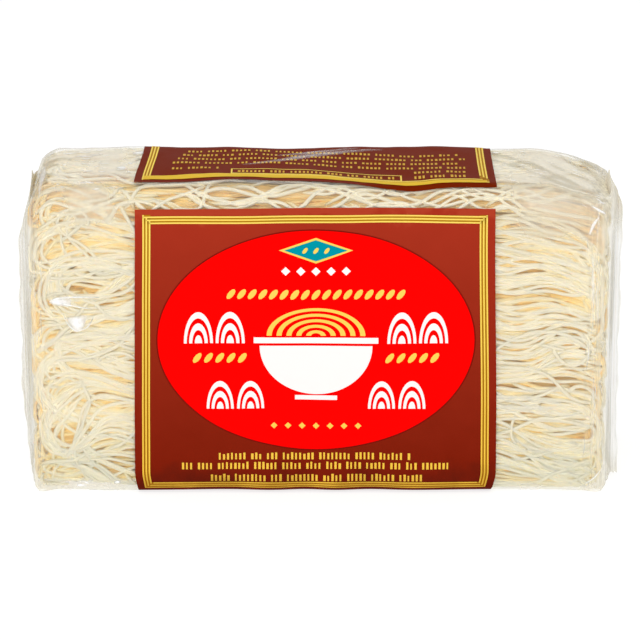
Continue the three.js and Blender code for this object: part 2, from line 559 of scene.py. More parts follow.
def noodle_map(count, strand, strands):
    """The bake map of a noodle's face corners: a band of its own, with its ends beyond its length."""
    ring, side = np.meshgrid(np.arange(count - 1), np.arange(NOODLE_SIDES), indexing="ij")
    u = 0.01 + 0.98 * (ring[..., None] + np.array([0, 0, 1, 1])) / (count - 1)
    v = (strand + 0.1 + 0.8 * (side[..., None] + np.array([0, 1, 1, 0])) / NOODLE_SIDES) / strands
    turn = np.arange(NOODLE_SIDES) * 2 * math.pi / NOODLE_SIDES
    cap = np.stack([np.cos(turn), np.sin(turn)], -1) * min(0.35 / strands, 0.004)
    middle = (strand + 0.5) / strands
    body = np.stack([u, v], -1).reshape(-1, 2)
    return np.concatenate([body, cap[::-1] + (0.005, middle), cap + (0.995, middle)])


class Noodles:
    """Strands that become one piece. Each is a closed tube, painted paler where it lies nearer to the film
    and warmer and darker deeper down, as painted shade and glow.
    """

    def __init__(self, name):
        self.name = name
        self.strands = []

    def add(self, rng, points, side, depth):
        """A strand along points in space. side is a direction across it, depth its depth under the film,
        which sets its painted depth shade.
        """
        depth_shade = 1 - smooth_step(PALE_DEPTH, WARM_DEPTH, depth) + rng.uniform(-0.14, 0.14)
        line = sampled(np.column_stack([eased(eased(points)), np.broadcast_to(side, points.shape), depth_shade]))
        taper = np.ones(len(line))
        taper[[0, -1]] = 0.6
        radius = NOODLE_RADIUS * rng.uniform(0.84, 1.12) * rng.uniform(0.95, 1.05, len(line)) * taper
        self.strands.append((tube_rings(line[:, :3], line[:, 3:6], radius), line[:, 6]))

    def lay(self, rng, x, along, depth, shade=None):
        """A strand under the skin of the pack. Its shade is the depth that its painted depth shade stands
        for, if that isn't its depth.
        """
        depth = np.maximum(depth, NOODLE_RADIUS + 0.1)
        points, outward = skin(x, along, -(depth + corner_gap(x, along)))
        self.add(rng, points, outward, depth if shade is None else shade)

    def build(self, material):
        points, faces, tones, places = [], [], [], []
        first = 0
        for strand, (rings, depth_shade) in enumerate(self.strands):
            count = len(rings)
            last = first + (count - 1) * NOODLE_SIDES
            points.append(rings.reshape(-1, 3))
            faces += grid_faces(count, NOODLE_SIDES, first, closed=True)
            faces.append(list(range(first + NOODLE_SIDES - 1, first - 1, -1)))
            faces.append(list(range(last, last + NOODLE_SIDES)))
            tones.append(np.repeat(depth_shade, NOODLE_SIDES))
            places.append(noodle_map(count, strand, len(self.strands)))
            first += count * NOODLE_SIDES
        piece = new_piece(self.name, np.concatenate(points), faces, material)
        give(piece, DEPTH_SHADE, np.concatenate(tones))
        piece.data.uv_layers.new(name=BAKE_MAP).data.foreach_set("uv", np.concatenate(places).ravel())
        return piece


def wave(rng, reach, shortest, longest):
    """A sine of that height and of some length between the two, as a function of the way travelled."""
    length = rng.uniform(shortest, longest)
    shift = rng.uniform(0, 2 * math.pi)
    return lambda travel: reach * np.sin(2 * math.pi * travel / length + shift)


def heave(rng):
    """How a noodle rises and sinks along its way."""
    return wave(rng, rng.uniform(0.1, 0.4), 24, 60)


def flow(rng, reach, slope=0.0):
    """A smooth field over the skin, as a function of a place on it: how far lines there are turned."""
    ripples = []
    for _ in range(5):
        turn, length = rng.uniform(0, 2 * math.pi), rng.uniform(32, 85)
        step_x, step_along = math.cos(turn) * 2 * math.pi / length, math.sin(turn) * 2 * math.pi / length
        ripples.append((rng.uniform(0.5, 1) * reach, step_x, step_along, rng.uniform(0, 2 * math.pi)))

    def turned(x, along):
        return slope + sum(high * math.sin(x * a + along * b + shift) for high, a, b, shift in ripples)

    return turned


def pen_line(x, along, headings, field):
    """A line that follows its headings in steps, turned by the field. Its x and its place round the pack."""
    path = []
    for heading in headings:
        heading += field(x, along)
        x += PEN_STEP * math.cos(heading)
        along += PEN_STEP * math.sin(heading)
        path.append((x, along))
    return np.array(path).T


def corner_gap(x, along):
    """Extra room between film and noodles, low on the pack and most at its left end."""
    turn = from_base(along)
    low = smooth_step(front(18), front(-2), turn)
    return lerp(0.3, 2.6, smooth_step(-60, -118, x)) * low


def end_reach(side, along):
    """How far the noodles reach at a place round the end. They are drawn in at its low corner."""
    turn = from_base(along)
    low = np.clip((front(LOW_CORNER[side]) - turn) / LOW_CORNER[side], 0, 0.98)
    return BLOCK_ENDS[side] - LOW_CORNER[side] / 2 * (1 - np.sqrt(1 - low * low))


def lay_turning(rng, noodles, side, along, depth, sways, field, way, radius):
    """A noodle that runs out from behind the print, bends back at the block's end and returns."""
    straight = BLOCK_ENDS[side] - COVERED - radius - rng.uniform(0, 6)
    turning = math.pi * radius
    travel = np.arange(0, straight + turning + rng.uniform(*WAY_BACK), PEN_STEP)
    turned = way * math.pi * np.clip((travel - straight) / turning, 0, 1)
    out, path_along = pen_line(COVERED, along, turned + sum(sway(travel) for sway in sways), field)
    out = np.minimum(out, end_reach(side, path_along))
    sink = 0.8 * smooth_step(straight, travel[-1], travel)
    noodles.lay(rng, side * out, path_along, depth + heave(rng)(travel) + sink)


def lay_diving(rng, noodles, side, along, depth, sways, field):
    """A noodle that runs out from behind the print, round the block's edge and in over its end."""
    radius = rng.uniform(*DIVE_RADII)
    straight = BLOCK_ENDS[side] - COVERED - radius - rng.uniform(0, 3)
    travel = np.arange(0, straight + math.pi / 2 * radius + rng.uniform(*WAY_IN), PEN_STEP)
    out, path_along = pen_line(COVERED, along, sum(sway(travel) for sway in sways), field)
    angle = np.clip((travel - straight) / radius, 0, math.pi / 2)
    inwards = np.maximum(travel - straight - math.pi / 2 * radius, 0)
    start = out[np.searchsorted(travel, straight) - 1]
    out = np.where(angle > 0, start + radius * np.sin(angle) + 1.5 * np.sin(inwards / 11), out)
    out = np.minimum(out, end_reach(side, path_along))
    depth = depth + heave(rng)(travel) + radius * (1 - np.cos(angle)) + inwards
    # Over the end its painted depth shade stays paler than its depth would give.
    noodles.lay(rng, side * out, path_along, depth, np.minimum(depth, 0.9 + 0.4 * (BLOCK_ENDS[side] - out)))


def lay_bundle(rng, noodles, side, along, depth, count, field, habit):
    """Noodles side by side, out to one end of the pack. A habit is a way to turn and its radius, or None."""
    shared = [wave(rng, rng.uniform(0.05, 0.3) * SWIRL[side], 40, 110)]
    for i in range(count):
        offset = (i - (count - 1) / 2) * NOODLE_PITCH
        own = [wave(rng, rng.uniform(0.04, 0.2), 26, 60), wave(rng, rng.uniform(0, 0.12), 11, 22)]
        level = depth + rng.uniform(-0.1, 0.3)
        if habit:
            way, radius = habit
            radius = max(radius - way * offset, 2)
            lay_turning(rng, noodles, side, along + offset, level, shared + own, field, way, radius)
        else:
            lay_diving(rng, noodles, side, along + offset, level, shared + own, field)


def some_habit(rng, side):
    """How a bundle ends: it bends back down or up, or goes in over the end."""
    if rng.uniform() < TURNING_SHARE[side]:
        return rng.choice([-1, 1]), rng.uniform(*TURN_RADII)
    return None


def lay_right_through(rng, noodles, along, depth, count):
    """Noodles side by side from one end of the pack to the other."""
    half = {side: BLOCK_ENDS[side] - rng.uniform(1, 8) for side in (-1, 1)}
    x = np.arange(-half[-1], half[1], 2 * PEN_STEP)
    shared = [wave(rng, rng.uniform(0.6, 2.4), 60, 150)]
    for i in range(count):
        offset = (i - (count - 1) / 2) * NOODLE_PITCH
        own = [wave(rng, rng.uniform(0.3, 1.5), 24, 60), wave(rng, rng.uniform(0, 0.35), 12, 22)]
        rise = heave(rng)(x)
        sideways = along + offset + sum(sway(x) for sway in shared + own)
        noodles.lay(rng, x, sideways, depth + rng.uniform(-0.25, 0.25) + rise)


# Where each stretch of the outline starts, the piece that its noodles belong to, and its layers.
FACES = (
    (0.0, "noodles_base", 1),
    (FRONT_LOW - 6, "noodles_front", 4),
    (FRONT_HIGH + 6, "noodles_top", 3),
    (ROUND - FRONT_HIGH - 6, "noodles_back", 2),
    (ROUND - FRONT_LOW + 6, "noodles_base", 1),
)

# Bundles that the front shows bending back: end, height, noodles, depth, way and radius.
SHOWN_BUNDLES = (
    (-1, 66.0, 6, 1.2, -1, 18.0),
    (-1, 104.0, 4, 1.3, -1, 13.0),
    (-1, 98.0, 4, 1.4, 1, 9.0),
    (1, 40.0, 5, 1.3, -1, 11.0),
    (1, 34.0, 3, 1.5, -1, 6.0),
)


def in_strip(along):
    return STRIP[0] < along < STRIP[1]


def shown(along):
    """True where the film is clear from end to end: between the panels, and on the base."""
    return in_strip(along) or along < FRONT_LOW - 14 or along > ROUND - FRONT_LOW + 8


def skin_noodles(material):
    """The outer layers of noodles, wherever the film is clear. The first layer is the most open."""
    pieces = {name: Noodles(name) for _, name, _ in FACES}
    starts = [start for start, _, _ in FACES]
    rng = np.random.default_rng(11)
    still = flow(rng, 0.0)
    for layer, (depth, least_gap, most_gap, reach) in enumerate(LAYERS):
        fields = {side: flow(rng, reach * SWIRL[side], SLOPE[side]) for side in (-1, 1)}
        along = rng.uniform(0, 2)
        while along < ROUND:
            count = int(rng.integers(1, 6))
            width = (count - 1) * NOODLE_PITCH
            _, name, layers = FACES[np.searchsorted(starts, along, side="right") - 1]
            bare = layer == 0 and in_strip(along)
            if shown(along) and layer < layers and not bare:
                sink = STRIP_SINK if in_strip(along) else 0
                lay_right_through(rng, pieces[name], along + width / 2, depth + sink, count)
            elif layer < layers and not bare:
                for side in (-1, 1):
                    habit = some_habit(rng, side)
                    lay_bundle(rng, pieces[name], side, along + width / 2, depth, count, fields[side], habit)
            along += width + NOODLE_PITCH + rng.uniform(least_gap, most_gap)
    for side, height, count, depth, way, radius in SHOWN_BUNDLES:
        lay_bundle(rng, pieces["noodles_front"], side, front(height), depth, count, still, (way, radius))
    for noodles in pieces.values():
        noodles.build(material)


# Loose loops on the front: middle (x, height), half sizes, and the degrees where each starts and stops.
LOOPS = (
    (-104.0, 121.5, 6.5, 6.0, -35, 215),
    (107.0, 69.0, 8.0, 10.0, 175, 372),
    (112.0, 45.0, 5.5, 5.0, -20, 190),
    (-86.0, 57.0, 9.0, 6.5, 10, 175),
    (-62.0, 84.0, 7.0, 5.0, 190, 350),
    (-93.0, 102.0, 13.0, 5.0, 200, 345),
    (86.0, 28.0, 4.0, 7.0, 95, 265),
)
LOOP_STEP = 7

# How deep both ends of a loose noodle go in between the others, and how many strays the faces have.
STRAY_SINK = 1.5
STRAYS = 300


def sunk_ends(travel, reach):
    """How far both ends of a loose noodle go in between the others."""
    from_end = np.minimum(travel, travel[-1] - travel)
    return STRAY_SINK * smooth_step(reach, 0, from_end)


def lay_stray(rng, strays, x, along, heading, length, curl, field):
    """A loose noodle that wanders over the others, no further than the block's ends."""
    travel = np.arange(0, length, PEN_STEP)
    bends = wave(rng, curl, 30, 80), wave(rng, curl / 3, 12, 26)
    path_x, path_along = pen_line(x, along, heading + sum(bend(travel) for bend in bends), field)
    inside = (path_x > 1.5 - BLOCK_ENDS[-1]) & (path_x < BLOCK_ENDS[1] - 1.5)
    count = len(travel) if inside.all() else int(np.argmin(inside))
    if count > 8:
        depth = rng.uniform(0.9, 1.3) + sunk_ends(travel[:count], 9)
        strays.lay(rng, path_x[:count], path_along[:count], depth)


def loose_noodles(material):
    """Strays that cross over the others, and the loops on the front."""
    strays = Noodles("noodles_loose")
    rng = np.random.default_rng(5)
    still = flow(rng, 0.0)
    for centre_x, height, half_x, half_z, start, stop in LOOPS:
        angle = np.radians(np.arange(start, stop, LOOP_STEP))
        x = centre_x + half_x * np.cos(angle)
        along = front(height) + half_z * np.sin(angle)
        travel = np.arange(len(angle)) * math.radians(LOOP_STEP) * (half_x + half_z) / 2
        strays.lay(rng, x, along, 0.9 + sunk_ends(travel, 5))
    for i in range(STRAYS):
        side = (-1, 1)[i % 2]
        x = side * rng.uniform(COVERED, BLOCK_ENDS[side] - 4)
        heading = rng.normal(0, 0.42 * SWIRL[side]) + (math.pi if rng.uniform() < 0.5 else 0)
        curl = rng.uniform(0.15, 0.8) * SWIRL[side]
        lay_stray(rng, strays, x, rng.uniform(0, ROUND), heading, rng.uniform(16, 70), curl, still)
    for _ in range(STRIP_STRAYS):
        along = rng.uniform(STRIP[0] + 2, STRIP[1] - 12)
        x, heading, length = rng.uniform(-90, 60), rng.normal(0, 0.1), rng.uniform(30, 90)
        lay_stray(rng, strays, x, along, heading, length, 0.6, still)
    strays.build(material)


# Bundles of loops over each end. These steps spread them evenly over its depth and its height.
END_BUNDLES = 225
EVEN_STEPS = (0.7549, 0.5698)
LOOP_RADII = (2.0, 7.5)
LOOP_LEGS = (4, 12)
LEG_STEP = 2

# How deep the loops lie, how far they bulge out in the middle, how deep the darkest of them looks in its
# painted depth shade, and how much room they keep from the block's faces.
MOST_SUNK = 4.5
END_BULGE = 3.4
END_SHADE = 2.2
END_ROOM = 0.9


def end_loops(side, name, material):
    """The bends that the block's end is made of: bundles of loops at all depths and slants."""
    loops = Noodles(name)
    rng = np.random.default_rng(21 + side)
    half_depth, low, high = end_section(side)
    for i in range(END_BUNDLES):
        y = lerp(2 - half_depth, half_depth - 2, EVEN_STEPS[0] * i % 1)
        z = lerp(low + 3, high - 3, EVEN_STEPS[1] * i % 1)
        slant = rng.normal(math.pi / 2, 0.5)
        turned = rng.uniform(-0.35, 0.35)
        radius = rng.uniform(*LOOP_RADII)
        sunk = rng.uniform(0, MOST_SUNK)
        reach = BLOCK_ENDS[side] + 0.4 - sunk + END_BULGE * (1 - abs(y) / half_depth)
        across = np.array([0, math.cos(slant), math.sin(slant)])
        stack = np.array([0, -math.sin(slant), math.cos(slant)])
        count = int(rng.integers(2, 5))
        for place in range(count):
            own = radius + rng.uniform(-0.5, 0.5) + place * 0.3
            angle = np.linspace(-math.pi / 2, math.pi / 2, 12)
            legs = np.arange(rng.uniform(*LOOP_LEGS), 0, -LEG_STEP)
            forward = np.concatenate([-legs, own * np.cos(angle), -legs[::-1]])
            sideways = np.concatenate([legs * 0 - own, own * np.sin(angle), legs * 0 + own])
            centre = np.array([0, y, z]) + stack * (place - (count - 1) / 2) * NOODLE_PITCH
            points = centre + sideways[:, None] * across + (forward * turned)[:, None] * stack
            drawn_in = BLOCK_ENDS[side] - end_reach(side, front(z))
            points[:, 0] = side * (reach - drawn_in - own + forward)
            points[:, 1] = np.clip(points[:, 1], END_ROOM - half_depth, half_depth - END_ROOM)
            points[:, 2] = np.clip(points[:, 2], low + END_ROOM, high - 1.2)
            loops.add(rng, points, stack, np.minimum(0.5 + 0.25 * sunk + 0.12 * (own - forward), END_SHADE))
    loops.build(material)


def core(material):
    """The inside of the block, a solid with the ridges of the noodles that the gaps show."""
    along = np.linspace(0, ROUND, 260, endpoint=False)[None, :]
    share = column(0, 1, 60)
    x = lerp(CORE_END - end_reach(-1, along), end_reach(1, along) - CORE_END, share)
    ridge = 0.35 * np.abs(np.sin(along * 0.8 + 1.2 * np.sin(x / 21 + along / 13)))
    strip = smooth_step(STRIP[0] - 4, STRIP[0] + 4, along) * smooth_step(STRIP[1], STRIP[1] - 8, along)
    points, _ = skin(x, along, -(CORE_DEPTH + corner_gap(x, along) + ridge + STRIP_SINK * strip))
    rows, columns = points.shape[:2]
    faces = grid_faces(rows, columns, closed=True)
    faces.append(list(range(columns - 1, -1, -1)))
    faces.append(list(range((rows - 1) * columns, rows * columns)))
    piece = new_piece("core", points, faces, material)
    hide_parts(NODE)


# ------------------------------------------------------------------ film

# The gusseted ends and the fin on each, as in the CAD solid, where the fin is thicker.
LEAN_REACH = 4.3
GUSSET_FOLD = 11.0
FIN_THICKNESS = 0.7
FIN_OFFSET = -6.0
FIN_BASE_GAP = 0.6
FIN_LEAST = 0.5
FILM_STEP = 1.65
LEAN_STEPS = 14
FIN_STEPS = 10

# Each fin's top, and how far its loose corners are cut back, over what height.
FIN_HIGH = {-1: 136.0, 1: 136.0}
FIN_TOP_CUT = {-1: (7.0, 38.0), 1: (6.5, 16.0)}
FIN_BASE_CUT = {-1: (3.0, 34.0), 1: (0.0, 34.0)}

# The foot of the right fin swings forward: how far, and below what height.
FIN_SWING = {-1: 0.0, 1: 9.0}
FIN_SWING_TOP = 40.0


def fin_reach(side, z):
    """The fin's outer edge, which is cut back towards its loose corners."""
    top_cut, top_height = FIN_TOP_CUT[side]
    base_cut, base_height = FIN_BASE_CUT[side]
    top_cut = top_cut * smooth_step(FIN_HIGH[side] - top_height, FIN_HIGH[side], z)
    return LENGTH / 2 - top_cut - base_cut * smooth_step(base_height, 0, z)


def fin_offset(side, z):
    """How far the fin stands from the middle of the pack's depth."""
    return FIN_OFFSET - FIN_SWING[side] * smooth_step(FIN_SWING_TOP, 0, z)


def fin_root(side, z):
    """Where the leaning film meets in the fin."""
    return np.minimum(BLOCK_HALF + LEAN_REACH, fin_reach(side, z) - FIN_LEAST)


def lean_ring(side, share, along):
    """A cross-section of the film between the block's end, at share 0, and the root of the fin."""
    end_half, end_low, end_high = end_section(side)
    half_depth = lerp(end_half, FIN_THICKNESS / 2, share)
    low, high = lerp(end_low, FIN_BASE_GAP, share), lerp(end_high, FIN_HIGH[side], share)
    y, z, out_y, out_z = outline(along, half_depth, low, high)
    fold = GUSSET_FOLD * 4 * share * (1 - share)
    inward = fold * np.maximum(1 - np.abs(y) / (half_depth * 0.6), 0)
    root, offset = fin_root(side, z), fin_offset(side, z)
    z = z - out_z * inward * np.abs(out_z)
    room = (root - BLOCK_HALF) / LEAN_REACH
    pleat = 0.7 * room * math.sin(share * 21) * np.sin(z / 23 + side) * share * (1 - share) * 4
    x = side * (lerp(BLOCK_HALF, root, share) + pleat * np.abs(out_y))
    wavy = crinkle(np.full_like(along, side * BLOCK_HALF), along) * (1 - share)
    return np.stack([x, y + out_y * wavy + offset * share, z + out_z * wavy], -1)


def fin_ring(side, share, along):
    """A cross-section of the fin from its root, at share 0, to its edge. The film folds to and fro in it."""
    ring = lean_ring(side, 1.0, along)
    z = ring[:, 2]
    ragged = 0.35 * np.sin(z / 5.3) + 0.25 * np.sin(z / 2.1 + 2)
    root = fin_root(side, z)
    reach = np.maximum(fin_reach(side, z) - 0.6 + ragged * share, root + 0.2)
    room = np.minimum((reach - root) / 2.6, 1)
    ring[:, 0] = side * lerp(root, reach, share)
    ring[:, 1] += room * (math.sin(share * 12.5) + 0.8 * share * np.sin(z / 19 + side))
    return ring


def film_rings(along):
    """All cross-sections of the film, from the left fin's edge to the right fin's edge."""
    leans = np.linspace(0, 1, LEAN_STEPS + 1)[1:]
    fins = np.linspace(0, 1, FIN_STEPS + 1)[1:]
    x = np.linspace(-BLOCK_HALF, BLOCK_HALF, int(2 * BLOCK_HALF / FILM_STEP))
    left, right = (
        [lean_ring(side, share, along) for share in leans] + [fin_ring(side, share, along) for share in fins]
        for side in (-1, 1)
    )
    return np.concatenate([left[::-1], film_skin(x[:, None], along[None, :]), right])


def film(material):
    along = np.linspace(0, ROUND, int(ROUND / FILM_STEP), endpoint=False)
    rings = film_rings(along)
    piece = new_piece("film", rings, grid_faces(*rings.shape[:2], closed=True), material)
    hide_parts(NODE)


def glint_strip(points_x, points_along, widths, strength):
    """A painted highlight along a fold of the film, as a grid of points, and how much painted light it has
    at each.

    widths are its widths at its start, its middle and its end. It fades out at its edges."""
    step = np.arange(len(points_x))
    fine = np.linspace(0, len(points_x) - 1, 8 * (len(points_x) - 1) + 1)
    x, along = np.interp(fine, step, points_x), np.interp(fine, step, points_along)
    for _ in range(6):
        x, along = eased(x), eased(along)
    forward = unit(np.stack([np.gradient(x), np.gradient(along)], -1))
    share = fine / fine[-1]
    half = np.interp(share, (0, 0.5, 1), widths) / 2
    ends = np.sin(math.pi * share) ** 0.5
    lines, light = [], []
    for place in (-1, -0.67, -0.33, 0, 0.33, 0.67, 1):
        side_x, side_along = x - forward[:, 1] * half * place, along + forward[:, 0] * half * place
        lines.append(film_skin(side_x, side_along, 0.05 + 0.3 * (1 - place * place)))
        light.append(strength * (1 - place * place) * ends)
    return np.stack(lines, axis=1), np.stack(light, axis=1)


# Painted highlights of sharp folds, where they catch the light: points (x, height) along each, its widths
# and its strength.
CREASE_GLINTS = (
    (((-93.0, 88.8), (-100.0, 89.0), (-108.0, 88.8), (-112.5, 88.2), (-115.0, 87.2)), (0.4, 1.0, 0.9), 1.15),
    (((-96.0, 83.4), (-102.0, 84.5), (-108.0, 85.7), (-112.0, 86.4), (-115.0, 87.2)), (0.4, 1.0, 0.9), 1.05),
    (((-114.6, 87.2), (-111.0, 87.0), (-105.0, 86.5)), (1.6, 4.4, 4.8), 1.1),
    (((-109.0, 81.9), (-107.0, 76.4), (-103.5, 73.4), (-98.5, 75.3), (-96.0, 80.0)), (0.4, 1.0, 0.5), 1.0),
    (((-103.4, 80.6), (-102.9, 77.5), (-102.8, 73.4)), (11.0, 8.0, 4.0), 1.15),
    (((117.2, 137.0), (120.8, 138.5)), (0.6, 1.0, 0.6), 1.1),
    (((114.0, 134.2), (117.0, 133.5), (120.2, 133.0)), (0.8, 1.6, 1.0), 1.3),
    (((117.3, 130.7), (114.9, 126.5), (113.3, 121.2)), (0.7, 1.6, 0.8), 1.3),
    (((115.0, 113.5), (115.4, 98.0), (116.0, 83.0)), (1.0, 1.8, 1.0), 0.5),
    (((113.5, 4.0), (118.0, 7.5), (121.5, 12.0)), (0.4, 0.9, 0.5), 0.9),
    (((-104.5, 183.2), (-101.5, 183.6), (-98.0, 183.2)), (1.2, 2.6, 1.2), 0.9),
    (((-111.0, 168.0), (-108.5, 169.2)), (1.8, 3.4, 2.0), 0.8),
    (((-87.2, 165.8), (-85.0, 166.4), (-82.6, 165.6)), (2.4, 4.6, 2.4), 1.1),
    (((-82.0, 161.5), (-81.2, 158.4)), (0.8, 1.6, 0.8), 0.8),
    (((-81.4, 184.6), (-78.6, 186.0), (-76.6, 186.4)), (2.6, 6.0, 4.0), 0.9),
    (((-118.6, 171.0), (-118.4, 158.0), (-118.0, 134.0)), (2.4, 3.6, 1.0), 0.8),
    (((74.5, 188.5), (76.5, 188.9), (78.5, 188.5)), (1.6, 3.4, 1.6), 0.9),
    (((116.2, 139.2), (118.0, 138.4), (119.6, 137.0)), (0.8, 1.4, 0.8), 1.2),
    (((-105.0, 3.2), (-103.0, 3.6), (-101.0, 3.4)), (1.0, 1.6, 1.0), 1.2),
    (((-88.8, 4.8), (-87.4, 5.1), (-86.0, 5.0)), (1.0, 1.6, 1.0), 1.2),
    (((-34.0, 169.0), (-17.0, 175.5), (-6.0, 185.0), (10.0, 189.0), (28.0, 192.0)), (2.0, 7.5, 3.0), 0.36),
    (((-20.0, 183.0), (-4.0, 190.0), (18.0, 194.0)), (1.0, 5.0, 2.0), 0.34),
)

# Zones of small painted highlights of folds: how many, x, place round the pack, greatest slant, length,
# width, strength.
# Where the slant is more than 1, they stand upright.
SCATTERED_GLINTS = (
    (44, (-119, -80), (172, 240), 0.5, (1.5, 6.0), (0.6, 2.6), (0.2, 1.0)),
    (44, (77, 119), (166, 240), 0.5, (1.5, 5.0), (0.5, 1.6), (0.2, 0.9)),
    (16, (-120, -84), (33, 41), 0.4, (1.5, 5.0), (0.5, 1.6), (0.2, 1.1)),
    (10, (82, 116), (33, 38), 0.3, (1.5, 5.0), (0.5, 1.2), (0.2, 0.8)),
    (16, (-122, -117), (50, 165), 1.6, (5.0, 18.0), (0.5, 1.0), (0.15, 0.5)),
    (22, (112, 122), (50, 170), 1.6, (5.0, 24.0), (0.4, 1.0), (0.15, 0.5)),
    (16, (-119, -80), (240, 370), 0.6, (1.5, 6.0), (0.5, 1.6), (0.2, 0.8)),
    (16, (78, 119), (240, 370), 0.6, (1.5, 6.0), (0.5, 1.6), (0.2, 0.8)),
)


def scattered_glints():
    """Small painted highlights of folds at random places in their zones, in the form that CREASE_GLINTS has.
    """
    rng = np.random.default_rng(17)
    for count, x_range, along_range, slant, lengths, widths, strengths in SCATTERED_GLINTS:
        for _ in range(count):
            x, along = rng.uniform(*x_range), rng.uniform(*along_range)
            turn = rng.uniform(-slant, slant) if slant < 1 else rng.normal(math.pi / 2, 0.06)
            half, bend = rng.uniform(*lengths) / 2, rng.uniform(-0.2, 0.2)
            step_x, step_along = half * math.cos(turn), half * math.sin(turn)
            height = along - front(0)
            places = (
                (x - step_x, height - step_along),
                (x - bend * step_along, height + bend * step_x),
                (x + step_x, height + step_along),
            )
            width = rng.uniform(*widths)
            yield places, (width / 2, width, width / 2), rng.uniform(*strengths)


# All the painted highlights of the film's folds, as one piece.
def crease_glints(material):
    points, faces, lights = [], [], []
    first = 0
    for places, widths, strength in (*CREASE_GLINTS, *scattered_glints()):
        x, heights = zip(*places)
        grid, light = glint_strip(x, front(np.array(heights)), widths, strength)
        points.append(grid.reshape(-1, 3))
        lights.append(light.ravel())
        faces += grid_faces(*grid.shape[:2], first=first)
        first += light.size
    piece = new_piece("film_crease_glints", np.concatenate(points), faces, material)
    give(piece, LIGHT, np.clip(np.concatenate(lights), 0, 1))


# ------------------------------------------------------------------ print

PRINT_STEP = 1.6
PANEL_LEFT = -77.9
PANEL_RIGHT = 73.6
PANEL_LOW = front(-12)
BAND_INSET = 3.2
BAND_LINES = (0.0, 1.35, 2.7)
LINE_WIDTH = 0.66
FRAME_STEPS = 220
LEVELS = {"panel": 0.12, "shade": 0.19, "ink": 0.26, "mark": 0.33, "over": 0.40, "last": 0.47}


def print_steps(length):
    """How many points a printed length has."""
    return int(length / PRINT_STEP) + 2


class Ink:
    """Printed shapes of one colour that become one piece, at a level over the film."""

    def __init__(self, name, level):
        self.name = name
        self.level = LEVELS[level]
        self.points = []
        self.faces = []
        self.count = 0

    def sheet(self, x, along):
        """A grid of places, as arrays of rows and columns."""
        x, along = np.broadcast_arrays(x, along)
        self.points.append(film_skin(x, along, self.level).reshape(-1, 3))
        self.faces += grid_faces(*x.shape, first=self.count)
        self.count += x.size

    def field(self, left, right, low, high):
        """A field between four edges. left and right depend on the place along, low and high on x."""
        u = row(0, 1, print_steps(right(0.0) - left(0.0)))
        v = column(0, 1, print_steps(high(0.0) - low(0.0)))
        level_x = lerp(left(0.0), right(0.0), u)
        along = lerp(low(level_x), high(level_x), v)
        self.sheet(lerp(left(along), right(along), u), along)

    def bar(self, left, right, low, high, bend=None):
        """An upright oblong. bend moves it along by its x."""
        x = row(left, right, print_steps(right - left))
        along = column(low, high, print_steps(high - low))
        self.sheet(x, along + (bend(x) if bend else 0))

    def oval(self, x, along, half_x, half_along, start=0, stop=360, inner=0.002, slant=0.0):
        """A disc, or the part of one between two angles and outside an inner share, turned by a slant."""
        spokes = max(int(math.radians(stop - start) * max(half_x, half_along) / PRINT_STEP), 10) + 1
        angle = np.radians(row(start, stop, spokes))
        share = column(inner, 1, print_steps((1 - inner) * min(half_x, half_along)))
        across, up = half_x * share * np.cos(angle), half_along * share * np.sin(angle)
        cos, sin = math.cos(math.radians(slant)), math.sin(math.radians(slant))
        self.sheet(x + across * cos - up * sin, along + across * sin + up * cos)

    def diamond(self, x, along, half_x, half_along):
        u = row(-1, 1, 2 * print_steps(half_x) - 1)
        v = column(-1, 1, 2 * print_steps(half_along) - 1)
        self.sheet(x + half_x * u, along + (half_along * (1 - np.abs(u)) + 0.05) * v)

    def build(self, material):
        return new_piece(self.name, np.concatenate(self.points), self.faces, material)


def spread(along, most):
    """How much wider the front panel is than at its top. It narrows again where it turns under the pack."""
    return most * (smooth_step(front(118), front(34), along) - smooth_step(front(10), front(-2), along))


def front_left(along, inset=0.0):
    return PANEL_LEFT + inset - spread(along, 1.6) + 0.2 * np.sin(along / 15 + 2.2)


def front_right(along, inset=0.0):
    return PANEL_RIGHT - inset + spread(along, 2.1) + 0.2 * np.sin(along / 19 + 0.4)


def front_top(x, inset=0.0):
    return PANEL_HIGH - inset + 0.4 * np.sin(x / 31 + 1)


def front_foot(x, inset=0.0):
    return np.full_like(x, PANEL_LOW + inset)


# The front's lower gold lines lie closer together, just above the place where the film turns under.
FOOT_INSET = front(2.5) - PANEL_LOW
FOOT_STRETCH = 0.73


def inset_by(edge, inset, stretch=1.0):
    """The same edge, further in. The stretch widens what lies along it."""
    return lambda place, more=0.0: edge(place, inset + stretch * more)


def frame_line(ink, edges, outer, inner):
    """A line round a frame between two insets from its edges: left, right, low and high."""
    left, right, low, high = edges
    share = column(0, 1, int((inner - outer) / 0.4) + 3)
    rows = row(low(0.0, outer), high(0.0, outer), FRAME_STEPS)
    columns = row(left(0.0, outer), right(0.0, outer), FRAME_STEPS)
    for edge in (left, right):
        ink.sheet(lerp(edge(rows, outer), edge(rows, inner), share), rows)
    for edge in (low, high):
        ink.sheet(columns, lerp(edge(columns, outer), edge(columns, inner), share))


def triple_frame(gold, olive, edges):
    """Three gold lines with olive between them."""
    frame_line(olive, edges, BAND_LINES[0], BAND_LINES[-1] + LINE_WIDTH)
    for line in BAND_LINES:
        frame_line(gold, edges, line, line + LINE_WIDTH)


OVAL_X = -1.7
OVAL_HEIGHT = 69.1
OVAL_HALF_X = 67.9
OVAL_HALF_Z = 49.8
BOWL_HALF = 24.0
BOWL_DEPTH = 22.0


